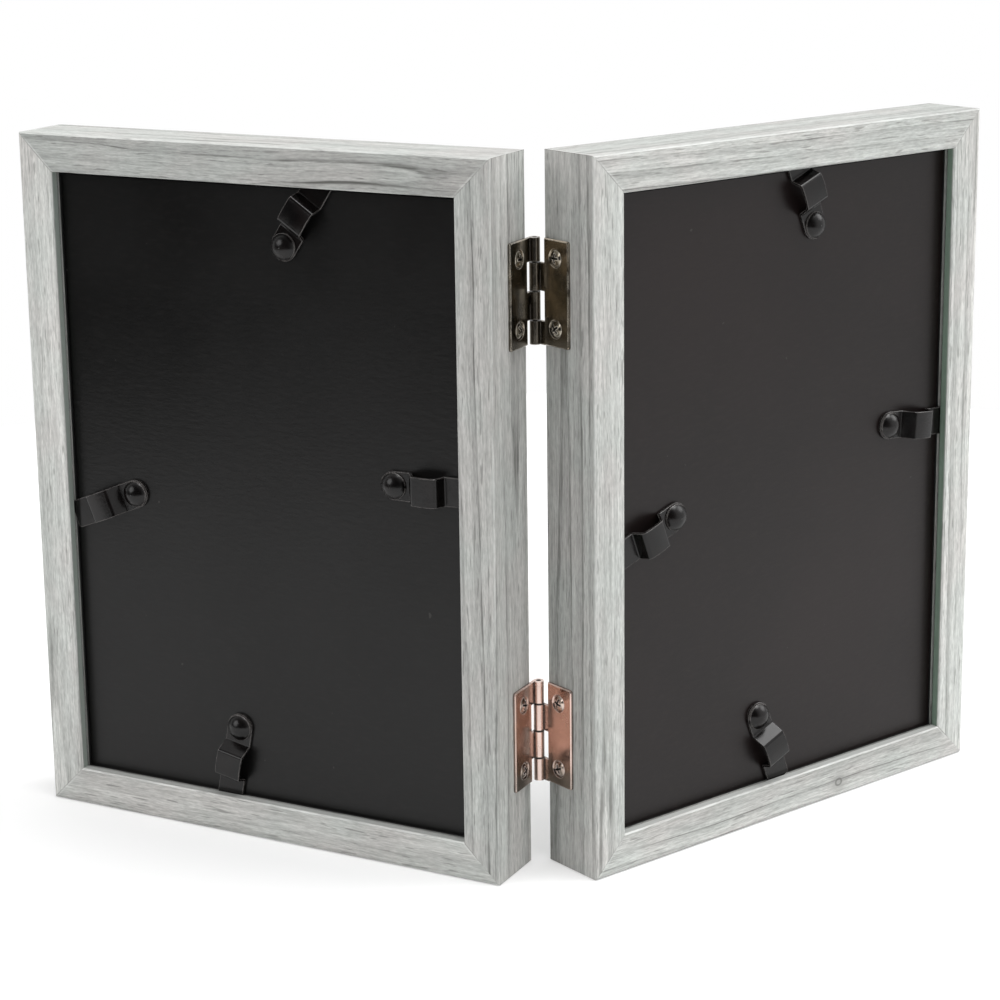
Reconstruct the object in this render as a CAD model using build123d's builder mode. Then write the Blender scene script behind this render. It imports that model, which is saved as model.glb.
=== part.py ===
"""Hinged double photo frame.

Two equal mitred frames stand on their bottom rails and open like a book on two butt hinges. Z is up, the
frames' backs face -Y, and the hinge line stands on X = 0. The origin is under the middle of the open pair.
"""

import os
from math import cos, hypot, radians, sin

from build123d import *

# Frames
frame_width = 150.0
frame_height = 200.0
frame_depth = 20.0
rest_half_angle = 33.0  # each frame's turn from flat open

# Moulding section
back_width = 10.75
lip_reach = 5.0
arris = 0.4
strip_depth = 2.8  # wood between the back and the clip groove
groove_height = 1.3
groove_play = 0.35

# Glass, insert card and backing board, stacked in the rabbet
glass_thickness = 2.0
card_thickness = 0.4
glass_air = 0.1  # between the card and the glass
board_thickness = 3.0
stack_play = 0.5

# Turn-button clips
clip_width = 8.2
clip_thickness = 0.8
clip_neck = 5.1
clip_crest = 7.4
clip_shoulder = 14.4
clip_reach = 23.2
clip_rise = 3.7
clip_bow = 0.45  # extra height in the middle of the top
clip_bow_bend = 18.0
clip_bend = 0.8
clip_tip_corner = 1.0
clip_bevel = 0.12
clip_wall_gap = 1.4
end_inset = 18.7  # rivet to the top or bottom rabbet wall, before the lift
side_inset = 21.5  # rivet to the side rabbet walls
end_lift = 1.8  # top and bottom clips sit above their symmetric places
side_lift = 3.0
end_shift = 10.0
side_shift = 6.0

# Rivets
rivet_radius = 1.5
rivet_head_radius = 3.8
rivet_head_height = 2.4
rivet_rim = 0.3
rivet_tail_radius = 2.5
swivel_play = 0.05

# Butt hinges
leaf_height = 29.0
leaf_width = 10.5
leaf_thickness = 0.8
leaf_corner = 0.8
leaf_bevel = 0.25
hinge_inset = 38.0  # hinge middle to the end of the frame
pin_radius = 0.65
pin_play = 0.05
pin_forward = 2.3  # pin axis ahead of the frames' front faces
pin_recess = 0.4
end_knuckle = 6.6
knuckle_gap = 0.25
notch_clearance = 1.4

# Hinge screws
screw_radius = 1.2
screw_head_radius = 2.2
screw_sink = 0.3
screw_crown = 0.75
screw_length = 10.0
screw_tip = 2.5
screw_play = 0.05
screw_edge = 4.95  # screw to the end of its leaf
cross_length = 2.6
cross_width = 0.6
cross_depth = 0.6

# Sizes that follow from those above
board_recess = strip_depth + groove_height
card_recess = board_recess + board_thickness
glass_recess = card_recess + card_thickness + glass_air
rabbet_depth = glass_recess + glass_thickness
opening_width = frame_width - 2 * back_width
opening_height = frame_height - 2 * back_width
stack_width = opening_width - 2 * stack_play
stack_height = opening_height - 2 * stack_play
clip_eye = clip_width / 2
nearest_wall = min(end_inset - end_lift, side_inset)
clip_slope_end = nearest_wall - clip_wall_gap
groove_depth = hypot(clip_reach, clip_eye) - nearest_wall + groove_play
clip_base_level = swivel_play + clip_thickness / 2
clip_tip_level = groove_height / 2
knuckle_radius = pin_radius + pin_play + leaf_thickness
middle_knuckle = leaf_height / 2 - end_knuckle
plate_start = knuckle_radius + notch_clearance
plate_length = pin_forward + leaf_width - plate_start

# The pair's depth runs from the outer front corners to the back corners beside the hinges
rest_turn = radians(rest_half_angle)
front_reach = (frame_width + knuckle_radius) * sin(rest_turn) - pin_forward * cos(rest_turn)
back_reach = (frame_depth + pin_forward) * cos(rest_turn) - knuckle_radius * sin(rest_turn)
pin_foot = Vector(0, (back_reach - front_reach) / 2, 0)

# Which way the hinge lies across each frame, seen from behind
HINGE_WAY = {"left": 1, "right": -1}

# Clip angles in degrees, from pointing straight at the nearest wall, seen from behind
CLIP_ANGLES = {
    "left": {"top": -33.5, "bottom": -11.0, "outer": 22.0, "hinge": 0.5},
    "right": {"top": 21.5, "bottom": 22.0, "outer": -5.0, "hinge": 20.0},
}

# Turn in degrees from one screw's cross to the next
CROSS_STEP = 37.0

# Height of each hinge's middle above the frame's middle
HINGE_RISE = {"upper": frame_height / 2 - hinge_inset, "lower": hinge_inset - frame_height / 2}


def frame_plane(hinge_way):
    """Middle of a frame's back: X to the right seen from behind, Y up, Z out of the back."""
    across = Vector(cos(rest_turn), -hinge_way * sin(rest_turn), 0)
    out = Vector(-hinge_way * sin(rest_turn), -cos(rest_turn), 0)
    to_middle = across * (-hinge_way * (frame_width / 2 + knuckle_radius))
    to_back = out * (frame_depth + pin_forward)
    middle = pin_foot + to_middle + to_back + Vector(0, 0, frame_height / 2)
    return Plane(origin=middle, x_dir=across, z_dir=out)


def plane_in(frame, at, x_dir, z_dir):
    """A plane whose place and directions are given along a frame's own axes."""
    origin = frame.from_local_coords(at)
    x_world = frame.from_local_coords(x_dir) - frame.origin
    z_world = frame.from_local_coords(z_dir) - frame.origin
    return Plane(origin=origin, x_dir=x_world, z_dir=z_world)


def side_view(seat):
    """The upright plane through a seat's X and Z, for profiles drawn from the side."""
    return Plane(origin=seat.origin, x_dir=seat.x_dir, z_dir=seat.x_dir.cross(seat.z_dir))


def keep(piece, label):
    """Label a finished piece and write its file."""
    piece.part.label = label
    export_step(piece.part, f"parts/{label}.step")


def moulding(frame, inward, screw_seats):
    """One mitred length of the moulding; inward points from its outer edge to the frame's middle."""
    inward_x, inward_y = inward
    along_x, along_y = inward_y, -inward_x
    length = frame_width if inward_x == 0 else frame_height
    edge_x = -inward_x * frame_width / 2
    edge_y = -inward_y * frame_height / 2
    section_plane = plane_in(frame, (edge_x, edge_y, 0), (inward_x, inward_y, 0), (along_x, along_y, 0))
    with BuildPart() as member:
        with BuildSketch(section_plane) as section:
            with BuildLine():
                Polyline(
                    (0, 0),
                    (back_width, 0),
                    (back_width, -strip_depth),
                    (back_width - groove_depth, -strip_depth),
                    (back_width - groove_depth, -board_recess),
                    (back_width, -board_recess),
                    (back_width, -rabbet_depth),
                    (back_width + lip_reach, -rabbet_depth),
                    (back_width + lip_reach, -frame_depth),
                    (0, -frame_depth),
                    close=True,
                )
            make_face()
            chamfer(section.vertices().group_by(Axis.Y)[0], arris)
            chamfer(section.vertices().group_by(Axis.Y)[-1], arris)
        extrude(amount=length / 2, both=True)
        for end in (1, -1):
            corner = (edge_x + end * along_x * length / 2, edge_y + end * along_y * length / 2, 0)
            into_wood = (-end * along_x - inward_x, -end * along_y - inward_y, 0)
            split(bisect_by=plane_in(frame, corner, (0, 0, 1), into_wood), keep=Keep.TOP)
        if screw_seats:
            with Locations(*screw_seats):
                CounterSinkHole(
                    radius=screw_radius + screw_play,
                    counter_sink_radius=screw_head_radius + screw_sink + screw_play,
                    depth=screw_length + screw_play,
                    counter_sink_angle=90,
                )
    return member


def stack_sheet(frame, recess, thickness):
    """A flat sheet in the rabbet, resting on the bottom rail, with its back at the given recess."""
    with BuildPart() as sheet:
        with BuildSketch(frame.offset(-recess)):
            with Locations((0, -stack_play)):
                Rectangle(stack_width, stack_height)
        extrude(amount=-thickness)
    return sheet


def backing_board(frame, rivet_seats):
    """The board, drilled for its rivets and countersunk in front for their flush tails."""
    tail_seats = []
    for seat in rivet_seats:
        tail_seats.append(Plane(origin=seat.origin - seat.z_dir * board_thickness, z_dir=-seat.z_dir))
    with BuildPart() as board:
        add(stack_sheet(frame, board_recess, board_thickness).part)
        with Locations(*tail_seats):
            CounterSinkHole(
                radius=rivet_radius + swivel_play,
                counter_sink_radius=rivet_tail_radius + swivel_play,
                depth=board_thickness,
                counter_sink_angle=90,
            )
    return board


def clip_seats(frame, hinge_way, angles):
    """Each clip's rivet point on the board's back, with X along the clip's arm."""
    end_rise = opening_height / 2 - end_inset
    side_reach = opening_width / 2 - side_inset
    hinge_heading = 0 if hinge_way > 0 else 180
    places = {
        "top": (end_shift, end_lift + end_rise, 90),
        "bottom": (-end_shift, end_lift - end_rise, 270),
        "hinge": (hinge_way * side_reach, side_lift + hinge_way * side_shift, hinge_heading),
        "outer": (-hinge_way * side_reach, side_lift - hinge_way * side_shift, 180 - hinge_heading),
    }
    seats = {}
    for name, (x, y, straight_out) in places.items():
        heading = radians(straight_out + angles[name])
        arm = (cos(heading), sin(heading), 0)
        seats[name] = plane_in(frame, (x, y, -board_recess), arm, (0, 0, 1))
    return seats


def turn_clip(seat):
    """Sheet-metal turn button: round end, step up, bowed top, step down and a tip for the groove."""
    top_level = clip_base_level + clip_rise
    bow_level = top_level + clip_bow
    with BuildPart() as clip:
        with BuildSketch(side_view(seat)):
            with BuildLine():
                FilletPolyline(
                    (-clip_eye, clip_base_level),
                    (clip_neck, clip_base_level),
                    (clip_crest, top_level),
                    ((clip_crest + clip_shoulder) / 2, bow_level),
                    (clip_shoulder, top_level),
                    (clip_slope_end, clip_tip_level),
                    (clip_reach, clip_tip_level),
                    radius=(clip_bend, clip_bend, clip_bow_bend, clip_bend, clip_bend),
                )
            trace(line_width=clip_thickness)
        extrude(amount=clip_eye, both=True)
        with BuildSketch(seat) as outline:
            with Locations((clip_reach / 2, 0)):
                Rectangle(clip_reach, clip_width)
            fillet(outline.vertices().group_by(Axis.X)[-1], clip_tip_corner)
            Circle(clip_eye)
        extrude(amount=bow_level + clip_thickness, mode=Mode.INTERSECT)
        lengthwise = clip.edges().filter_by(Axis((0, 0, 0), seat.y_dir), reverse=True)
        chamfer(lengthwise.filter_by(Axis((0, 0, 0), seat.z_dir), reverse=True), clip_bevel)
        with Locations(seat):
            Hole(rivet_radius + swivel_play)
    return clip


def rivet(seat):
    """Domed rivet: head on the clip, shank through clip and board, tail flush with the board's front."""
    head_level = clip_thickness + 2 * swivel_play
    tail_level = -board_thickness
    dome_height = rivet_head_height - rivet_rim
    dome_radius = (rivet_head_radius**2 + dome_height**2) / (2 * dome_height)
    with BuildPart() as solid:
        with BuildSketch(side_view(seat)):
            with BuildLine():
                Polyline(
                    (0, head_level + rivet_head_height),
                    (0, tail_level),
                    (rivet_tail_radius, tail_level),
                    (rivet_radius, tail_level + rivet_tail_radius - rivet_radius),
                    (rivet_radius, head_level),
                    (rivet_head_radius, head_level),
                    (rivet_head_radius, head_level + rivet_rim),
                )
                RadiusArc(
                    (rivet_head_radius, head_level + rivet_rim),
                    (0, head_level + rivet_head_height),
                    -dome_radius,
                )
            make_face()
        revolve(axis=Axis(seat.origin, seat.z_dir))
    return solid


def hinge_plan(frame, hinge_way, level):
    """Level plane on the pin axis: X out of the frame's back, Y to the right seen from behind."""
    pin_x = hinge_way * (frame_width / 2 + knuckle_radius)
    return plane_in(frame, (pin_x, level, -frame_depth - pin_forward), (0, 0, 1), (0, 1, 0))


def knuckle_spans():
    """Bottom and top of each knuckle below the hinge's top, from the top down."""
    lengths = (end_knuckle, middle_knuckle, middle_knuckle, end_knuckle)
    spans = []
    start = 0.0
    for place, length in enumerate(lengths):
        top_gap = knuckle_gap / 2 if place > 0 else 0.0
        bottom_gap = knuckle_gap / 2 if place < len(lengths) - 1 else 0.0
        spans.append((start + length - bottom_gap, start + top_gap))
        start += length
    return spans


def hinge_leaf(frame, hinge_way, rise, screw_seats):
    """One leaf: a plate on the stile's side, curled into every second knuckle round the pin."""
    to_wood = -hinge_way
    plate_middle = to_wood * (knuckle_radius - leaf_thickness / 2)
    first_knuckle = 0 if hinge_way > 0 else 1
    leaf_top = rise + leaf_height / 2
    with BuildPart() as leaf:
        with BuildSketch(hinge_plan(frame, hinge_way, rise - leaf_height / 2)):
            with Locations((plate_start + plate_length / 2, plate_middle)):
                Rectangle(plate_length, leaf_thickness)
        extrude(amount=leaf_height)
        plate_edges = leaf.edges().filter_by(Axis((0, 0, 0), frame.x_dir))
        fillet(plate_edges.sort_by(Axis((0, 0, 0), frame.z_dir))[-2:], leaf_corner)
        outer_face = leaf.faces().sort_by(Axis((0, 0, 0), frame.x_dir * hinge_way))[-1]
        chamfer(outer_face.edges(), leaf_bevel)
        for bottom, top in knuckle_spans()[first_knuckle::2]:
            with BuildSketch(hinge_plan(frame, hinge_way, leaf_top - bottom)):
                Circle(knuckle_radius)
                with Locations(((plate_start + leaf_bevel) / 2, plate_middle)):
                    Rectangle(plate_start + leaf_bevel, leaf_thickness)
                Circle(pin_radius + pin_play, mode=Mode.SUBTRACT)
            extrude(amount=bottom - top)
        with Locations(*screw_seats):
            CounterSinkHole(
                radius=screw_radius + screw_play,
                counter_sink_radius=screw_head_radius + screw_sink + screw_play,
                depth=2 * leaf_thickness,
                counter_sink_angle=90,
            )
    return leaf


def leaf_screw_seats(frame, hinge_way, rise):
    """Top and bottom screw points on a leaf's outer face, with Z out of the leaf."""
    seats = {}
    for name, way in (("top", 1), ("bottom", -1)):
        at = (
            hinge_way * (frame_width / 2 + leaf_thickness),
            rise + way * (leaf_height / 2 - screw_edge),
            leaf_width / 2 - frame_depth,
        )
        seats[name] = plane_in(frame, at, (0, 1, 0), (hinge_way, 0, 0))
    return seats


def hinge_pin(frame, hinge_way, rise):
    """Plain pin through the knuckles of one hinge, a little short of their ends."""
    with BuildPart() as pin:
        with BuildSketch(hinge_plan(frame, hinge_way, rise - leaf_height / 2 + pin_recess)):
            Circle(pin_radius)
        extrude(amount=leaf_height - 2 * pin_recess)
    return pin


def wood_screw(seat, cross_turn):
    """Countersunk screw with a crowned head and a cross recess."""
    rim_level = -screw_sink
    cone_end = rim_level - (screw_head_radius - screw_radius)
    crown_radius = (screw_head_radius**2 + screw_crown**2) / (2 * screw_crown)
    with BuildPart() as screw:
        with BuildSketch(side_view(seat)):
            with BuildLine():
                Polyline(
                    (0, rim_level + screw_crown),
                    (0, -screw_length),
                    (screw_radius, screw_tip - screw_length),
                    (screw_radius, cone_end),
                    (screw_head_radius, rim_level),
                )
                RadiusArc((screw_head_radius, rim_level), (0, rim_level + screw_crown), -crown_radius)
            make_face()
        revolve(axis=Axis(seat.origin, seat.z_dir))
        with BuildSketch(seat.offset(rim_level + screw_crown)):
            Rectangle(cross_length, cross_width, rotation=cross_turn)
            Rectangle(cross_width, cross_length, rotation=cross_turn)
        extrude(amount=-cross_depth - screw_crown, mode=Mode.SUBTRACT)
    return screw


def build_frame(side):
    """Every piece of one frame, with its leaves of both hinges."""
    hinge_way = HINGE_WAY[side]
    frame = frame_plane(hinge_way)
    seats = clip_seats(frame, hinge_way, CLIP_ANGLES[side])

    screw_seats = []
    for hinge, rise in HINGE_RISE.items():
        leaf_seats = leaf_screw_seats(frame, hinge_way, rise)
        keep(hinge_leaf(frame, hinge_way, rise, leaf_seats.values()), f"{hinge}_{side}_leaf")
        for place, seat in leaf_seats.items():
            keep(wood_screw(seat, CROSS_STEP * len(screw_seats)), f"{hinge}_{side}_{place}_screw")
            screw_seats.append(seat)

    inward_ways = {
        "top_rail": (0, -1),
        "bottom_rail": (0, 1),
        "outer_stile": (hinge_way, 0),
        "hinge_stile": (-hinge_way, 0),
    }
    for name, inward in inward_ways.items():
        drilled_at = screw_seats if name == "hinge_stile" else []
        keep(moulding(frame, inward, drilled_at), f"{side}_{name}")

    keep(stack_sheet(frame, glass_recess, glass_thickness), f"{side}_glass")
    keep(stack_sheet(frame, card_recess, card_thickness), f"{side}_insert_card")
    keep(backing_board(frame, seats.values()), f"{side}_backing_board")

    for name, seat in seats.items():
        keep(turn_clip(seat), f"{side}_{name}_clip")
        keep(rivet(seat), f"{side}_{name}_rivet")


os.makedirs("parts", exist_ok=True)
for frame_side in HINGE_WAY:
    build_frame(frame_side)
for hinge_name, hinge_rise in HINGE_RISE.items():
    left_plane = frame_plane(HINGE_WAY["left"])
    keep(hinge_pin(left_plane, HINGE_WAY["left"], hinge_rise), f"{hinge_name}_hinge_pin")
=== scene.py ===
"""Hinged double photo frame seen from behind: finishes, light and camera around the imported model.

The model stands on Z = 0 in metres, with the frames' backs towards -Y and the hinge line on X = 0.
"""

from math import cos, radians, sin

import bmesh
import bpy
from mathutils import Matrix, Vector


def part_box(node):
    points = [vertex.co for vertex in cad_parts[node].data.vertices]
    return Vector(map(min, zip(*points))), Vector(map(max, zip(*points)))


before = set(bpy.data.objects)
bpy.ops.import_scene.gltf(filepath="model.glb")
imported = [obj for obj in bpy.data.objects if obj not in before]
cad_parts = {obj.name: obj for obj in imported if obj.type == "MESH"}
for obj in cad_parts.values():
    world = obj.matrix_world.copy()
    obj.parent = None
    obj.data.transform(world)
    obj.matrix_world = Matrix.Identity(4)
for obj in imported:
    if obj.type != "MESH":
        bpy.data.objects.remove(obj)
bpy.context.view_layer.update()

# Frame sizes and places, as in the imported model
HALF_WIDTH = 0.075
HALF_HEIGHT = 0.1
FRAME_DEPTH = 0.02
BACK_WIDTH = 0.01075
STRIP_DEPTH = 0.0028
PIN_Y = -0.031349
PIN_TO_SIDE = 0.0015
PIN_FORWARD = 0.0023
HALF_ANGLE = radians(33)
HINGE_WAY = {"left": 1, "right": -1}

# Wood: the lightness of each length, partly its own tone and partly painted light, the right frame's lengths
# mostly painted lighter than the left's; and the wander in metres, seed and line strength of its grain
TONE_AND_PAINTED_LIGHT = {
    "left_top_rail": 0.8,
    "left_bottom_rail": 0.96,
    "left_outer_stile": 1.15,
    "left_hinge_stile": 0.87,
    "right_top_rail": 1.09,
    "right_bottom_rail": 1.06,
    "right_outer_stile": 1.27,
    "right_hinge_stile": 1.16,
}
# How light the outer sides of each length are: painted shade, darker than the back on the rails' ends and
# the right frame's stiles
OUTER_SIDE_SHADE = {"left_rail": 0.9, "left_stile": 1.0, "right_rail": 0.9, "right_stile": 0.8}
# How much painted highlight goes on the eased edges of rails and of stiles
ARRIS_HIGHLIGHT_SHARE = {"rail": 0.6, "stile": 0.25}
WANDER = {"left_top_rail": 0.006, "right_bottom_rail": 0.005}
USUAL_WANDER = 0.0025
SEED = {
    "left_top_rail": 11.0,
    "left_bottom_rail": 1.7,
    "left_outer_stile": 7.9,
    "left_hinge_stile": 4.8,
    "right_top_rail": 26.3,
    "right_bottom_rail": 14.1,
    "right_outer_stile": 20.3,
    "right_hinge_stile": 17.2,
}
LINES = {"left_top_rail": 0.9, "left_hinge_stile": 0.75, "right_top_rail": 0.75, "right_hinge_stile": 0.65}
USUAL_LINES = 0.5

# Grain: how often each part of it comes in a metre, along the length and across it
DRIFT_SCALE = (14, 30, 30)
RING_SCALE = (1.2, 75, 75)
BREAK_SCALE = (50, 260, 260)
BAND_SCALE = (3, 140, 140)
STREAK_SCALE = (9, 700, 700)
THREAD_SCALE = (110, 2100, 2100)
FIBRE_SCALE = (480, 2600, 2600)
PORE_SCALE = (140, 1500, 1500)
WASH_SCALE = (35, 60, 60)
RING_COUNT = 6.5

# Wood tones, with painted highlights beside the mitres, on the eased edges and on the rails' inner walls,
# and painted shade in the grooves and on the stiles' inner walls
DARK_BAND = (0.5, 0.502, 0.488, 1)
LIGHT_BAND = (0.58, 0.585, 0.57, 1)
WARM_WASH = (1.012, 0.99, 0.98, 1)
COOL_WASH = (0.972, 0.998, 0.98, 1)
GROWTH_LINE = (0.11, 0.11, 0.1, 1)
PORE = (0.18, 0.18, 0.17, 1)
# Painted highlights: a pale line beside each mitre and along the eased edges
MITRE_HIGHLIGHT = (0.7, 0.71, 0.69, 1)
ARRIS_HIGHLIGHT = (0.78, 0.8, 0.775, 1)
MITRE_LINE = (0.17, 0.16, 0.15, 1)
GROOVE_SHADE = (0.02, 0.02, 0.02, 1)
# Painted light on the inner walls: a pale painted highlight on the rails, darker green-grey painted shade on
# the stiles
PALE_WALL_HIGHLIGHT = (0.46, 0.47, 0.455, 1)
WALL_PAINTED_LIGHT = {
    "left_rail": PALE_WALL_HIGHLIGHT,
    "left_stile": (0.3, 0.35, 0.315, 1),
    "right_rail": PALE_WALL_HIGHLIGHT,
    "right_stile": (0.14, 0.23, 0.165, 1),
}

# Joinery marks in metres: half the mitre line, the painted highlight beside it, and where the inner wall
# starts and ends
MITRE_REACH = 0.00028
MITRE_HIGHLIGHT_PLACE = 0.0005
WALL_TOP = (0.0004, 0.001)
WALL_FOOT = (0.0105, 0.0095)

# Boards: the darkest, the usual and the flecked tone; the right board's are painted lighter and browner than
# the left's, a painted reflection
BOARD_TONES_AND_PAINTED_LIGHT = {
    "left": ((0.0026, 0.0025, 0.0024, 1), (0.005, 0.0046, 0.0045, 1), (0.0095, 0.0086, 0.0083, 1)),
    "right": ((0.0065, 0.0042, 0.004, 1), (0.0115, 0.0072, 0.0068, 1), (0.016, 0.011, 0.0105, 1)),
}

# A small knot on the right bottom rail, in the frame's own axes
KNOT_ACROSS = 0.0204
KNOT_UP = -0.0959
KNOT_SQUASH = 1.25
KNOT_RING = 0.0012
KNOT_HALO = (0.3, 0.3, 0.285, 1)
KNOT_EDGE = (0.16, 0.16, 0.15, 1)

# Black enamel: its tones and the colour of its rubbed edges, which is also a painted highlight, then the
# gloss and the width of the rubbed edges and painted highlight on the clips, and of the painted rim
# highlight on the rivets
ENAMEL_BLACK = (0.0025, 0.0022, 0.0022, 1)
ENAMEL_SOOT = (0.006, 0.0045, 0.0043, 1)
EDGE_STEEL_AND_HIGHLIGHT = (0.3, 0.28, 0.27, 1)
CLIP_GLOSS = (0.16, 0.24)
CLIP_RUB_AND_HIGHLIGHT = 0.0004
RIVET_GLOSS = (0.2, 0.28)
RIVET_RIM_HIGHLIGHT = 0.0009

# Hinges: knuckle length, edge of the barrel around the pin, the right leaf painted lighter, painted shade in
# creases, and the plated tones. Both hinges are one plating, painted dark on the upper one and rosy on the
# lower one as painted reflections, the upper screws painted lighter than their leaves, with painted
# highlights on knuckles and edges
MIDDLE_KNUCKLE = 0.0079
BARREL_EDGE = (0.0019, 0.0016)
RIGHT_LEAF_PAINTED_LIGHT = 12.0
HINGE_CREVICE_SHADE = (0.02, 0.016, 0.013, 1)
CREAM_EDGE_HIGHLIGHT = (0.85, 0.78, 0.68, 1)
BLUSH_EDGE_HIGHLIGHT = (0.95, 0.82, 0.77, 1)
UPPER_KNUCKLE_HIGHLIGHT = (0.2, 0.18, 0.15, 1)
LOWER_KNUCKLE_HIGHLIGHT = (0.74, 0.58, 0.52, 1)
# Each plating: its dark and light tone, then the painted shade at its foot
UPPER_PLATE_PAINTED_DARK = ((0.05, 0.05, 0.04, 1), (0.36, 0.3, 0.22, 1), (0.15, 0.13, 0.1, 1))
UPPER_SCREW_PAINTED_LIGHTER = ((0.18, 0.16, 0.13, 1), (0.32, 0.28, 0.22, 1), (0.2, 0.18, 0.14, 1))
LOWER_PLATE_PAINTED_ROSY = ((0.46, 0.32, 0.26, 1), (0.7, 0.5, 0.43, 1), (0.17, 0.15, 0.12, 1))
LOWER_SCREW_PAINTED_ROSY = ((0.4, 0.31, 0.26, 1), (0.62, 0.5, 0.43, 1), (0.28, 0.24, 0.2, 1))

# Glass and card
GLASS_TINT = (0.97, 0.99, 0.98, 1)
GLASS_SHADE = (0.95, 0.97, 0.96, 1)
GLASS_IOR = 1.5
CARD_DULL = (0.74, 0.73, 0.7, 1)
CARD_PALE = (0.79, 0.78, 0.755, 1)
CARD_TOOTH = (0.6, 0.59, 0.57, 1)

# Camera at the photograph's angle
CAMERA_PLACE = (-0.0747, -0.68588, 0.28605)
CAMERA_TURN = radians(5.67)
CAMERA_TILT = radians(13.15)
CAMERA_LEAN = radians(-0.73)
CAMERA_LENS = 90.46
CAMERA_SHIFT = -0.1

# Studio
FLOOR_RADIUS = 0.55
FLOOR_DROP = 0.0002
FLOOR_COLOUR = (0.68, 0.68, 0.68, 1)
FLOOR_GLOW = 0.32
SKY_LEVEL = 0.65
SUNS = {
    "top_sun": ((0.22, -0.13, 0.967), 1.6),
    "left_sun": ((-0.85, -0.35, 0.4), 0.8),
    "right_sun": ((0.8, 0.0, 0.6), 1.0),
}
SUN_SPREAD = radians(35)
DARK_WAY = (-0.6, -0.8, 0.0)
DARK_LEVEL = 0.03


def add_node(tree, kind, **settings):
    """Put a node in a tree and set its properties."""
    node = tree.nodes.new(kind)
    for name, value in settings.items():
        setattr(node, name, value)
    return node


def feed(tree, socket, value):
    """Give a socket its value, by a link or as a constant."""
    if isinstance(value, bpy.types.NodeSocket):
        tree.links.new(value, socket)
    else:
        socket.default_value = value


def calc(tree, operation, first, second=0.0, third=0.0):
    """One step of arithmetic between values."""
    node = add_node(tree, "ShaderNodeMath", operation=operation)
    for socket, value in zip(node.inputs, (first, second, third)):
        feed(tree, socket, value)
    return node.outputs[0]


def vector_calc(tree, operation, *values):
    """One step of arithmetic between vectors."""
    node = add_node(tree, "ShaderNodeVectorMath", operation=operation)
    for socket, value in zip(node.inputs, values):
        feed(tree, socket, value)
    return node.outputs["Value" if operation == "DOT_PRODUCT" else "Vector"]


def fade(tree, value, start, end, low=0.0, high=1.0):
    """A smooth change from low to high as a value goes from start to end."""
    node = add_node(tree, "ShaderNodeMapRange", interpolation_type="SMOOTHSTEP")
    for socket, given in zip(node.inputs, (value, start, end, low, high)):
        feed(tree, socket, given)
    return node.outputs[0]


def blend(tree, share, first, second):
    """A mix of two colours."""
    node = add_node(tree, "ShaderNodeMix", data_type="RGBA")
    feed(tree, node.inputs["Factor"], share)
    feed(tree, node.inputs[6], first)
    feed(tree, node.inputs[7], second)
    return node.outputs[2]


def turned(tree, vector, place=(0, 0, 0), turn=(0, 0, 0), scale=(1, 1, 1)):
    """A point moved to other axes."""
    node = add_node(tree, "ShaderNodeMapping")
    for socket, given in zip(node.inputs, (vector, place, turn, scale)):
        feed(tree, socket, given)
    return node.outputs[0]


def noise(tree, vector, seed, scale, detail=3.0, roughness=0.55):
    """Noise stretched by its own scale along each axis."""
    node = add_node(tree, "ShaderNodeTexNoise", noise_dimensions="4D")
    feed(tree, node.inputs["Vector"], turned(tree, vector, scale=scale))
    feed(tree, node.inputs["W"], seed)
    feed(tree, node.inputs["Scale"], 1.0)
    feed(tree, node.inputs["Detail"], detail)
    feed(tree, node.inputs["Roughness"], roughness)
    return node.outputs


def new_group(name, inputs, outputs):
    """An empty shader group with its named sockets."""
    tree = bpy.data.node_groups.new(name, "ShaderNodeTree")
    for label, kind in inputs.items():
        tree.interface.new_socket(label, in_out="INPUT", socket_type="NodeSocket" + kind)
    for label, kind in outputs.items():
        tree.interface.new_socket(label, in_out="OUTPUT", socket_type="NodeSocket" + kind)
    return tree, add_node(tree, "NodeGroupInput").outputs, add_node(tree, "NodeGroupOutput").inputs


def place_group(tree, group, **values):
    """Use a group in a material with this material's values."""
    node = add_node(tree, "ShaderNodeGroup", node_tree=group)
    for name, value in values.items():
        feed(tree, node.inputs[name], value)
    return node.outputs


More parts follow.
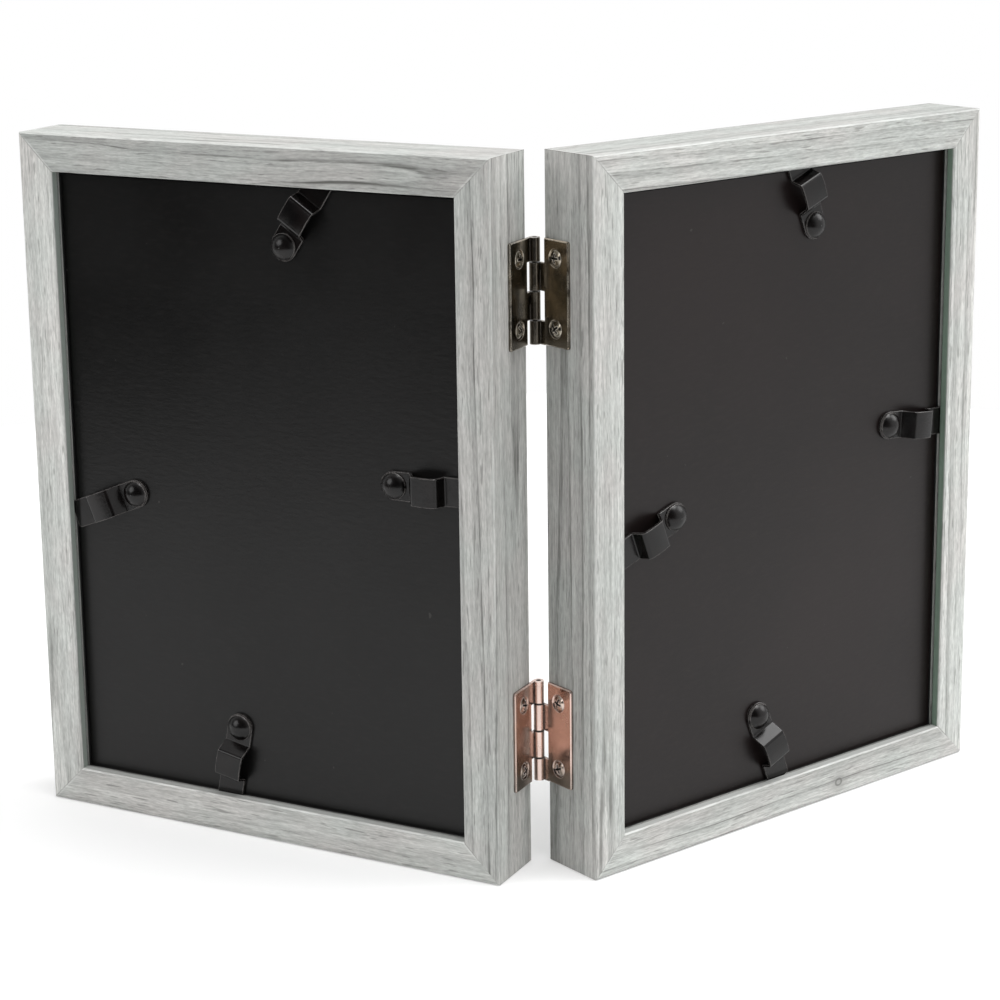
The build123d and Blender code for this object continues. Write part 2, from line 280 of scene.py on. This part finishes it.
def make_grain():
    """Grey-washed grain along X: thin growth lines, soft bands, fine streaks, short fibre and rare pores."""
    tree, given, result = new_group(
        "grey_wash_grain",
        {"Point": "Vector", "Seed": "Float", "Wander": "Float", "Lines": "Float", "Lightness": "Float"},
        {"Color": "Color", "Height": "Float"},
    )
    seed = given["Seed"]
    drift = noise(tree, given["Point"], seed, DRIFT_SCALE, detail=2.0)["Color"]
    aside = add_node(tree, "ShaderNodeCombineXYZ")
    feed(tree, aside.inputs["Y"], given["Wander"])
    feed(tree, aside.inputs["Z"], given["Wander"])
    centred = vector_calc(tree, "SUBTRACT", drift, (0.5, 0.5, 0.5))
    point = vector_calc(tree, "MULTIPLY_ADD", centred, aside.outputs[0], given["Point"])

    rings = noise(tree, point, seed, RING_SCALE, detail=0.0)["Fac"]
    year = calc(tree, "FRACT", calc(tree, "MULTIPLY", rings, RING_COUNT))
    late_wood = calc(tree, "MULTIPLY", fade(tree, year, 0.86, 0.95), fade(tree, year, 1.0, 0.97))
    broken = fade(tree, noise(tree, point, seed, BREAK_SCALE)["Fac"], 0.4, 0.6, 0.15, 1.0)
    bands = noise(tree, point, seed, BAND_SCALE)["Fac"]
    streaks = noise(tree, point, seed, STREAK_SCALE)["Fac"]
    streaky = fade(tree, streaks, 0.6, 0.42, 0.2, 1.0)
    growth = calc(tree, "MULTIPLY", calc(tree, "MULTIPLY", late_wood, broken), streaky)
    threads = noise(tree, point, seed, THREAD_SCALE, detail=2.0)["Fac"]
    fibre = noise(tree, point, seed, FIBRE_SCALE, detail=2.0, roughness=0.6)["Fac"]
    pores = noise(tree, point, seed, PORE_SCALE, detail=1.0)["Fac"]
    wash = noise(tree, given["Point"], seed, WASH_SCALE, detail=2.0)["Fac"]

    colour = blend(tree, fade(tree, bands, 0.3, 0.7), DARK_BAND, LIGHT_BAND)
    shades = (
        blend(tree, fade(tree, wash, 0.35, 0.65), WARM_WASH, COOL_WASH),
        fade(tree, year, 0.3, 1.0, 1.04, 0.88),
        fade(tree, streaks, 0.3, 0.65, 0.88, 1.06),
        fade(tree, threads, 0.3, 0.65, 0.84, 1.08),
        fade(tree, fibre, 0.3, 0.7, 0.86, 1.1),
    )
    for shade in shades:
        colour = vector_calc(tree, "MULTIPLY", colour, shade)
    colour = blend(tree, calc(tree, "MULTIPLY", growth, given["Lines"]), colour, GROWTH_LINE)
    colour = blend(tree, fade(tree, pores, 0.62, 0.7, high=0.55), colour, PORE)
    feed(tree, result["Color"], vector_calc(tree, "MULTIPLY", colour, given["Lightness"]))
    feed(tree, result["Height"], calc(tree, "SUBTRACT", threads, calc(tree, "MULTIPLY", growth, 0.5)))
    return tree


def make_joinery():
    """Marks of a mitred frame in its own axes: joints with a painted highlight beside them, eased edges for
    a painted highlight, outer sides and the grooved wall.
    """
    tree, given, result = new_group(
        "joinery_marks",
        {"Point": "Vector", "Facing": "Vector"},
        {name: "Float" for name in ("Mitre", "Mitre_highlight", "Arris", "Outer", "Wall", "Groove")},
    )
    split = add_node(tree, "ShaderNodeSeparateXYZ")
    feed(tree, split.inputs[0], given["Point"])
    across = calc(tree, "ABSOLUTE", split.outputs["X"])
    upward = calc(tree, "ABSOLUTE", split.outputs["Z"])
    depth = split.outputs["Y"]
    offset = calc(tree, "SUBTRACT", calc(tree, "SUBTRACT", upward, across), HALF_HEIGHT - HALF_WIDTH)
    patchy = fade(tree, noise(tree, given["Point"], 2.0, (130, 130, 130))["Fac"], 0.35, 0.6)
    joint = fade(tree, calc(tree, "ABSOLUTE", offset), MITRE_REACH, 0.0)
    feed(tree, result["Mitre"], calc(tree, "MULTIPLY", joint, patchy))
    # Painted highlight: a pale line beside the mitre
    beside = calc(tree, "ABSOLUTE", calc(tree, "SUBTRACT", offset, MITRE_HIGHLIGHT_PLACE))
    feed(tree, result["Mitre_highlight"], calc(tree, "MULTIPLY", fade(tree, beside, MITRE_HIGHLIGHT_PLACE, 0.0001), patchy))

    facing = add_node(tree, "ShaderNodeSeparateXYZ")
    feed(tree, facing.inputs[0], vector_calc(tree, "ABSOLUTE", given["Facing"]))
    level = calc(tree, "MAXIMUM", facing.outputs["X"], facing.outputs["Y"])
    flat = calc(tree, "MAXIMUM", level, facing.outputs["Z"])
    # Painted highlight on the eased edges, broken into patches
    rubbed_and_lit = fade(tree, noise(tree, given["Point"], 4.0, (45, 45, 45))["Fac"], 0.35, 0.65, 0.1, 1.0)
    feed(tree, result["Arris"], calc(tree, "MULTIPLY", fade(tree, flat, 0.95, 0.8), rubbed_and_lit))
    past_side = calc(tree, "SUBTRACT", across, HALF_WIDTH)
    past_end = calc(tree, "SUBTRACT", upward, HALF_HEIGHT)
    feed(tree, result["Outer"], fade(tree, calc(tree, "MAXIMUM", past_side, past_end), -0.0003, -0.0001))

    from_side = calc(tree, "ADD", past_side, BACK_WIDTH)
    from_end = calc(tree, "ADD", past_end, BACK_WIDTH)
    inside = fade(tree, calc(tree, "MAXIMUM", from_side, from_end), 0.0005, 0.0003)
    recess = calc(tree, "MULTIPLY", fade(tree, depth, *WALL_TOP), fade(tree, depth, *WALL_FOOT))
    feed(tree, result["Wall"], calc(tree, "MULTIPLY", inside, recess))
    below = calc(tree, "MULTIPLY", fade(tree, depth, STRIP_DEPTH - 0.0003, STRIP_DEPTH + 0.0001), recess)
    feed(tree, result["Groove"], below)
    return tree


def make_edge_wear_and_highlight():
    """A mask along outer edges and corners, broken up by fine noise, for rubbed edges and painted edge
    highlights.
    """
    tree, given, result = new_group(
        "edge_wear_and_highlight", {"Point": "Vector", "Width": "Float", "Fineness": "Float"}, {"Worn_and_lit": "Float"}
    )
    rounded = add_node(tree, "ShaderNodeBevel", samples=8)
    feed(tree, rounded.inputs["Radius"], given["Width"])
    surface = add_node(tree, "ShaderNodeNewGeometry").outputs["Normal"]
    edge = fade(tree, vector_calc(tree, "DOT_PRODUCT", rounded.outputs[0], surface), 0.995, 0.9)
    patchy = add_node(tree, "ShaderNodeTexNoise")
    feed(tree, patchy.inputs["Vector"], given["Point"])
    feed(tree, patchy.inputs["Scale"], given["Fineness"])
    feed(tree, result["Worn_and_lit"], calc(tree, "MULTIPLY", edge, fade(tree, patchy.outputs["Fac"], 0.25, 0.5)))
    return tree


def make_crevice():
    """A mask in creases and narrow gaps."""
    tree, given, result = new_group("crevice", {"Reach": "Float"}, {"Depth": "Float"})
    nearby = add_node(tree, "ShaderNodeAmbientOcclusion", samples=16)
    feed(tree, nearby.inputs["Distance"], given["Reach"])
    feed(tree, result["Depth"], fade(tree, nearby.outputs["AO"], 0.85, 0.3))
    return tree


def make_smudge():
    """Soft unevenness of a finish, between two levels."""
    tree, given, result = new_group(
        "uneven_finish",
        {"Point": "Vector", "Fineness": "Float", "Low": "Float", "High": "Float"},
        {"Level": "Float"},
    )
    cloud = add_node(tree, "ShaderNodeTexNoise")
    feed(tree, cloud.inputs["Vector"], given["Point"])
    feed(tree, cloud.inputs["Scale"], given["Fineness"])
    feed(tree, cloud.inputs["Detail"], 4.0)
    feed(tree, result["Level"], fade(tree, cloud.outputs["Fac"], 0.3, 0.7, given["Low"], given["High"]))
    return tree


def new_material(name):
    """A material with only its surface shader, and its tree, shader and object point."""
    material = bpy.data.materials.new(name)
    material.use_nodes = True
    tree = material.node_tree
    shader = tree.nodes["Principled BSDF"]
    point = add_node(tree, "ShaderNodeTexCoord").outputs["Object"]
    return material, tree, shader, point


def add_bump(tree, shader, height, depth):
    """Raise the surface by a height that varies over it."""
    bump = add_node(tree, "ShaderNodeBump")
    feed(tree, bump.inputs["Height"], height)
    feed(tree, bump.inputs["Distance"], depth)
    feed(tree, shader.inputs["Normal"], bump.outputs[0])


def frame_axes(tree, point, side):
    """A point in a frame's own axes: X across and Z up from its middle, Y in from its back."""
    way = HINGE_WAY[side]
    place = (
        way * (HALF_WIDTH + PIN_TO_SIDE + PIN_Y * sin(HALF_ANGLE)),
        FRAME_DEPTH + PIN_FORWARD - PIN_Y * cos(HALF_ANGLE),
        -HALF_HEIGHT,
    )
    return turned(tree, point, place, (0, 0, way * HALF_ANGLE))


def mark_knot(tree, local, colour):
    """A small pale knot with a dark ring and a soft dark halo."""
    flat = vector_calc(tree, "MULTIPLY", local, (1, 0, KNOT_SQUASH))
    gap = add_node(tree, "ShaderNodeVectorMath", operation="DISTANCE")
    feed(tree, gap.inputs[0], flat)
    feed(tree, gap.inputs[1], (KNOT_ACROSS, 0, KNOT_SQUASH * KNOT_UP))
    away = gap.outputs["Value"]
    colour = blend(tree, fade(tree, away, 0.005, 0.0008, high=0.5), colour, KNOT_HALO)
    from_ring = calc(tree, "ABSOLUTE", calc(tree, "SUBTRACT", away, KNOT_RING))
    return blend(tree, fade(tree, from_ring, 0.0006, 0.0001, high=0.7), colour, KNOT_EDGE)


def wood_finish(name, effects):
    """Grey-washed wood with its grain along one length of moulding."""
    side, _, length = name.split("_")
    material, tree, shader, point = new_material(f"grey_wood_{name}")
    local = frame_axes(tree, point, side)
    normal = add_node(tree, "ShaderNodeTexCoord").outputs["Normal"]
    facing = turned(tree, normal, turn=(0, 0, HINGE_WAY[side] * HALF_ANGLE))
    along = turned(tree, local, turn=(0, radians(90), 0)) if length == "stile" else local
    marks = place_group(tree, effects["joinery"], Point=local, Facing=facing)
    # Each length's tone, partly painted light, with its outer sides as painted shade
    level = fade(tree, marks["Outer"], 0.0, 1.0, TONE_AND_PAINTED_LIGHT[name], OUTER_SIDE_SHADE[f"{side}_{length}"])
    wander = WANDER.get(name, USUAL_WANDER)
    lines = LINES.get(name, USUAL_LINES)
    grain = {"Point": along, "Seed": SEED[name], "Wander": wander, "Lines": lines, "Lightness": level}
    wood = place_group(tree, effects["grain"], **grain)
    colour = wood["Color"]
    if name == "right_bottom_rail":
        colour = mark_knot(tree, local, colour)
    # Painted highlight beside the mitres
    colour = blend(tree, calc(tree, "MULTIPLY", marks["Mitre_highlight"], 0.5), colour, MITRE_HIGHLIGHT)
    # Painted highlight on the eased edges
    arris = calc(tree, "MULTIPLY", marks["Arris"], ARRIS_HIGHLIGHT_SHARE[length])
    colour = blend(tree, arris, colour, ARRIS_HIGHLIGHT)
    colour = blend(tree, calc(tree, "MULTIPLY", marks["Mitre"], 0.55), colour, MITRE_LINE)
    # Painted light on the inner walls: pale on the rails, darker green-grey on the stiles
    colour = blend(tree, calc(tree, "MULTIPLY", marks["Wall"], 0.85), colour, WALL_PAINTED_LIGHT[f"{side}_{length}"])
    groove = calc(tree, "MULTIPLY", marks["Groove"], marks["Wall"])
    colour = blend(tree, groove, colour, GROOVE_SHADE)
    feed(tree, shader.inputs["Base Color"], colour)
    feed(tree, shader.inputs["Roughness"], fade(tree, wood["Height"], 0.1, 0.6, 0.68, 0.52))
    shader.inputs["Specular IOR Level"].default_value = 0.3
    add_bump(tree, shader, wood["Height"], 0.00012)
    return material


def board_finish(side, effects):
    """Black painted hardboard with a faint fibre and a satin sheen, the right one painted lighter and
    browner as a painted reflection.
    """
    material, tree, shader, point = new_material(f"black_hardboard_{side}")
    # The right board's tones are painted lighter, a painted reflection
    black, soot, flecked = BOARD_TONES_AND_PAINTED_LIGHT[side]
    fibre = noise(tree, point, 3.0, (300, 300, 900))["Fac"]
    mottle = noise(tree, point, 5.0, (14, 14, 14), detail=4.0)["Fac"]
    specks = noise(tree, point, 8.0, (520, 520, 520), detail=0.0)["Fac"]
    colour = blend(tree, fade(tree, mottle, 0.3, 0.7), black, soot)
    colour = blend(tree, fade(tree, fibre, 0.45, 0.75, high=0.4), colour, flecked)
    colour = blend(tree, fade(tree, specks, 0.85, 0.88, high=0.25), colour, (0.1, 0.095, 0.09, 1))
    feed(tree, shader.inputs["Base Color"], colour)
    sheen = place_group(tree, effects["smudge"], Point=point, Fineness=22.0, Low=0.29, High=0.36)["Level"]
    feed(tree, shader.inputs["Roughness"], sheen)
    shader.inputs["Specular IOR Level"].default_value = 0.3
    add_bump(tree, shader, fibre, 0.00004)
    return material


def enamel_finish(name, gloss, rubbed_and_lit, effects):
    """Black enamelled steel, a little rubbed on its edges, the rubbed edges also a painted highlight."""
    material, tree, shader, point = new_material(name)
    orange_peel = noise(tree, point, 2.0, (1400, 1400, 1400), detail=2.0)["Fac"]
    tone = noise(tree, point, 4.0, (160, 160, 160))["Fac"]
    worn_and_lit = place_group(tree, effects["wear_and_highlight"], Point=point, Width=rubbed_and_lit, Fineness=500.0)["Worn_and_lit"]
    colour = blend(tree, fade(tree, tone, 0.35, 0.65), ENAMEL_BLACK, ENAMEL_SOOT)
    # Bare steel on rubbed edges, also a painted highlight on the clips' edges and the rivets' rims
    colour = blend(tree, calc(tree, "MULTIPLY", worn_and_lit, 0.65), colour, EDGE_STEEL_AND_HIGHLIGHT)
    feed(tree, shader.inputs["Base Color"], colour)
    low, high = gloss
    sheen = place_group(tree, effects["smudge"], Point=point, Fineness=220.0, Low=low, High=high)["Level"]
    feed(tree, shader.inputs["Roughness"], sheen)
    shader.inputs["Specular IOR Level"].default_value = 0.35
    add_bump(tree, shader, orange_peel, 0.00002)
    return material


def plated_finish(name, tones, leaf, effects):
    """Plated hinge metal: its tone drifts over it, the right leaf is painted lighter, and it has painted
    shade at its foot and in creases, gaps and knuckle joints and painted highlights on its knuckles and
    edges.
    """
    material, tree, shader, point = new_material(name)
    dark, light, foot_shade, knuckle_highlight, rubbed_and_lit = tones
    foot, top = leaf[0][2], leaf[1][2]
    drift = noise(tree, point, 6.0, (110, 110, 55))["Fac"]
    brushed = noise(tree, point, 9.0, (2500, 2500, 160), detail=2.0)["Fac"]
    split = add_node(tree, "ShaderNodeSeparateXYZ")
    feed(tree, split.inputs[0], point)
    from_pin = calc(tree, "SUBTRACT", split.outputs["Y"], PIN_Y)
    beside = calc(tree, "POWER", split.outputs["X"], 2.0)
    around = calc(tree, "SQRT", calc(tree, "MULTIPLY_ADD", from_pin, from_pin, beside))
    worn_and_lit = place_group(tree, effects["wear_and_highlight"], Point=point, Width=0.00055, Fineness=350.0)["Worn_and_lit"]
    # Painted shade in creases and narrow gaps
    crevice_shade = place_group(tree, effects["crevice"], Reach=0.0022)["Depth"]
    # Painted light: the right leaf lighter than the left
    shade = calc(tree, "MULTIPLY_ADD", split.outputs["X"], RIGHT_LEAF_PAINTED_LIGHT, drift)
    colour = blend(tree, fade(tree, shade, 0.35, 0.65), dark, light)
    # Painted shade towards the foot of each leaf
    low = fade(tree, split.outputs["Z"], foot + 0.01, foot + 0.002, high=0.75)
    colour = blend(tree, low, colour, foot_shade)
    # Painted highlight on the knuckles around the pin
    barrel = fade(tree, around, *BARREL_EDGE)
    colour = blend(tree, calc(tree, "MULTIPLY", barrel, 0.8), colour, knuckle_highlight)
    # Painted highlight on the edges
    colour = blend(tree, calc(tree, "MULTIPLY", worn_and_lit, 0.9), colour, rubbed_and_lit)
    # Painted shade in the joints between knuckles and in creases
    above_middle = calc(tree, "SUBTRACT", split.outputs["Z"], (foot + top) / 2)
    from_joint = calc(tree, "PINGPONG", above_middle, MIDDLE_KNUCKLE / 2)
    joint = calc(tree, "MULTIPLY", fade(tree, from_joint, 0.0004, 0.0002), barrel)
    crevice_shade_share = calc(tree, "MULTIPLY", calc(tree, "MAXIMUM", crevice_shade, joint), 0.9)
    colour = blend(tree, crevice_shade_share, colour, HINGE_CREVICE_SHADE)
    feed(tree, shader.inputs["Base Color"], colour)
    feed(tree, shader.inputs["Metallic"], fade(tree, worn_and_lit, 0.0, 1.0, 1.0, 0.45))
    sheen = place_group(tree, effects["smudge"], Point=point, Fineness=260.0, Low=0.14, High=0.28)["Level"]
    feed(tree, shader.inputs["Roughness"], sheen)
    add_bump(tree, shader, brushed, 0.00001)
    return material


def glass_finish(effects):
    """Clear picture glass with faint smears, which lets the lamps light what is behind it."""
    material, tree, shader, point = new_material("picture_glass")
    shader.inputs["Base Color"].default_value = GLASS_TINT
    shader.inputs["Transmission Weight"].default_value = 1.0
    shader.inputs["IOR"].default_value = GLASS_IOR
    smear = place_group(tree, effects["smudge"], Point=point, Fineness=30.0, Low=0.0, High=0.03)["Level"]
    feed(tree, shader.inputs["Roughness"], smear)
    clear = add_node(tree, "ShaderNodeBsdfTransparent")
    clear.inputs["Color"].default_value = GLASS_SHADE
    pane = add_node(tree, "ShaderNodeMixShader")
    feed(tree, pane.inputs[0], add_node(tree, "ShaderNodeLightPath").outputs["Is Shadow Ray"])
    feed(tree, pane.inputs[1], shader.outputs[0])
    feed(tree, pane.inputs[2], clear.outputs[0])
    feed(tree, tree.nodes["Material Output"].inputs["Surface"], pane.outputs[0])
    return material


def card_finish():
    """Plain pale insert card with a paper tooth."""
    material, tree, shader, point = new_material("insert_paper")
    tooth = noise(tree, point, 1.0, (1500, 1500, 1500))["Fac"]
    cloud = noise(tree, point, 2.0, (60, 60, 60), detail=4.0)["Fac"]
    colour = blend(tree, fade(tree, cloud, 0.3, 0.7), CARD_DULL, CARD_PALE)
    colour = blend(tree, fade(tree, tooth, 0.5, 0.35, high=0.2), colour, CARD_TOOTH)
    feed(tree, shader.inputs["Base Color"], colour)
    shader.inputs["Roughness"].default_value = 0.85
    add_bump(tree, shader, tooth, 0.00004)
    return material


def hinge_finishes(effects):
    """Both hinges in one plating, painted dark on the upper one and rosy on the lower one as painted
    reflections, each with its own screws.
    """
    tones = {
        "dark_bronze": (*UPPER_PLATE_PAINTED_DARK, UPPER_KNUCKLE_HIGHLIGHT, CREAM_EDGE_HIGHLIGHT),
        "dark_bronze_screw": (*UPPER_SCREW_PAINTED_LIGHTER, UPPER_KNUCKLE_HIGHLIGHT, CREAM_EDGE_HIGHLIGHT),
        "rose_copper": (*LOWER_PLATE_PAINTED_ROSY, LOWER_KNUCKLE_HIGHLIGHT, BLUSH_EDGE_HIGHLIGHT),
        "rose_copper_screw": (*LOWER_SCREW_PAINTED_ROSY, LOWER_KNUCKLE_HIGHLIGHT, BLUSH_EDGE_HIGHLIGHT),
    }
    leaves = {"dark_bronze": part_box("upper_left_leaf"), "rose_copper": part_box("lower_left_leaf")}
    return {
        name: plated_finish(f"{name}_plating", tones[name], leaves[name.removesuffix("_screw")], effects)
        for name in tones
    }


def finish_nodes():
    """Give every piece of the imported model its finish."""
    effects = {
        "grain": make_grain(),
        "joinery": make_joinery(),
        "wear_and_highlight": make_edge_wear_and_highlight(),
        "crevice": make_crevice(),
        "smudge": make_smudge(),
    }
    finishes = hinge_finishes(effects)
    boards = {side: board_finish(side, effects) for side in HINGE_WAY}
    finishes["black_metal"] = enamel_finish("black_enamel", CLIP_GLOSS, CLIP_RUB_AND_HIGHLIGHT, effects)
    finishes["black_rivet"] = enamel_finish("black_rivet_enamel", RIVET_GLOSS, RIVET_RIM_HIGHLIGHT, effects)
    finishes["glass"] = glass_finish(effects)
    finishes["insert_card"] = card_finish()
    for name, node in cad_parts.items():
        slot = node.material_slots[0]
        given = slot.material.name
        if given == "grey_wood":
            slot.material = wood_finish(name, effects)
        elif given == "black_board":
            slot.material = boards[name.split("_")[0]]
        elif name.endswith("rivet"):
            slot.material = finishes["black_rivet"]
        elif name.endswith("screw"):
            slot.material = finishes[given + "_screw"]
        else:
            slot.material = finishes[given]


def link(data_object):
    """Put a new object in the scene."""
    bpy.context.scene.collection.objects.link(data_object)
    return data_object


def lay_floor():
    """A plain pale floor that keeps the shadow."""
    mesh = bpy.data.meshes.new("floor")
    shape = bmesh.new()
    bmesh.ops.create_circle(shape, cap_ends=True, segments=128, radius=FLOOR_RADIUS)
    bmesh.ops.translate(shape, verts=shape.verts, vec=(0, 0, -FLOOR_DROP))
    shape.to_mesh(mesh)
    shape.free()
    floor = link(bpy.data.objects.new("floor", mesh))
    material, tree, shader, _ = new_material("pale_floor")
    shader.inputs["Base Color"].default_value = FLOOR_COLOUR
    shader.inputs["Roughness"].default_value = 0.9
    shader.inputs["Specular IOR Level"].default_value = 0.0
    shader.inputs["Emission Color"].default_value = (1, 1, 1, 1)
    path = add_node(tree, "ShaderNodeLightPath").outputs
    mirrored = calc(tree, "MAXIMUM", path["Is Glossy Ray"], path["Is Transmission Ray"])
    seen = calc(tree, "MAXIMUM", path["Is Camera Ray"], mirrored)
    feed(tree, shader.inputs["Emission Strength"], calc(tree, "MULTIPLY", seen, FLOOR_GLOW))
    mesh.materials.append(material)


def light_sky():
    """An even pale sky that looks white, with a dark front corner of the room that only gloss shows."""
    world = bpy.data.worlds.new("studio")
    bpy.context.scene.world = world
    world.use_nodes = True
    tree = world.node_tree
    sky = tree.nodes["Background"]
    sky.inputs["Color"].default_value = (1, 1, 1, 1)
    heading = add_node(tree, "ShaderNodeTexCoord").outputs["Generated"]
    room = fade(tree, vector_calc(tree, "DOT_PRODUCT", heading, DARK_WAY), 0.0, 0.7, 1.0, DARK_LEVEL)
    path = add_node(tree, "ShaderNodeLightPath").outputs
    seen = calc(tree, "MAXIMUM", path["Is Camera Ray"], path["Is Transmission Ray"])
    level = fade(tree, path["Is Glossy Ray"], 0.0, 1.0, SKY_LEVEL, room)
    feed(tree, sky.inputs["Strength"], fade(tree, seen, 0.0, 1.0, level, 1.0))


def hang_suns():
    """Broad soft lights from above, from the left and from the right."""
    for name, (way, strength) in SUNS.items():
        lamp = bpy.data.lights.new(name, "SUN")
        lamp.energy = strength
        lamp.angle = SUN_SPREAD
        holder = link(bpy.data.objects.new(name, lamp))
        holder.rotation_euler = Vector(way).to_track_quat("Z", "Y").to_euler()


def set_camera():
    """The camera at the photograph's place, with a small lean and shift."""
    level_reach = cos(CAMERA_TILT)
    forward = Vector((sin(CAMERA_TURN) * level_reach, cos(CAMERA_TURN) * level_reach, -sin(CAMERA_TILT)))
    level = Vector((cos(CAMERA_TURN), -sin(CAMERA_TURN), 0))
    upright = level.cross(forward)
    across = level * cos(CAMERA_LEAN) + upright * sin(CAMERA_LEAN)
    up = upright * cos(CAMERA_LEAN) - level * sin(CAMERA_LEAN)
    data = bpy.data.cameras.new("camera")
    data.lens = CAMERA_LENS
    data.shift_y = CAMERA_SHIFT
    camera = link(bpy.data.objects.new("camera", data))
    turn = Matrix((across, up, -forward)).transposed().to_4x4()
    camera.matrix_world = Matrix.Translation(CAMERA_PLACE) @ turn
    bpy.context.scene.camera = camera


finish_nodes()
lay_floor()
light_sky()
hang_suns()
set_camera()
bpy.context.scene.view_settings.view_transform = "Standard"
